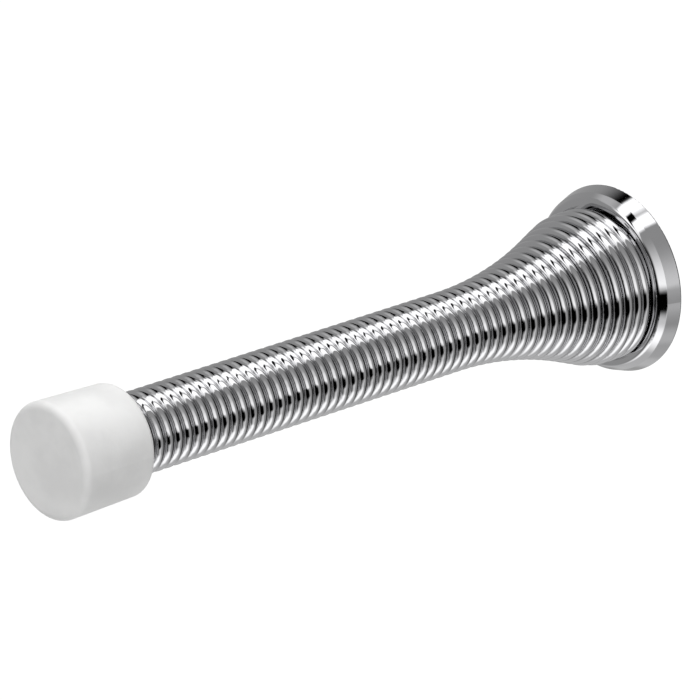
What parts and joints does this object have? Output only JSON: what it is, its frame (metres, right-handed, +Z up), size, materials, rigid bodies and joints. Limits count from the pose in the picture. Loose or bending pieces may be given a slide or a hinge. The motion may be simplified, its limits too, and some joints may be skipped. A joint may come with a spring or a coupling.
{
  "type": "spring door stop",
  "caption": "Wall-fixed door stop: a close-wound chromed spring that flares onto a round screw-on flange, with a white rubber cap on its free end.",
  "frame": {"origin": "centre of the flange's flat back face, where the stop meets the skirting board or wall", "axes": "+Y out of the back face into the wall, -Y along the spring to the cap, +Z up, +X to the right seen from the cap's side"},
  "size_m": [0.0266, 0.103, 0.0266],
  "materials": {
    "flange_chrome": "polished chrome plate",
    "spring_chrome": "polished chrome plate on drawn wire",
    "cap_rubber": "matte white moulded rubber"
  },
  "bodies": {
    "root": {"base_flange": "flange_chrome", "spring": "spring_chrome", "bumper_cap": "cap_rubber"}
  },
  "joints": []
}
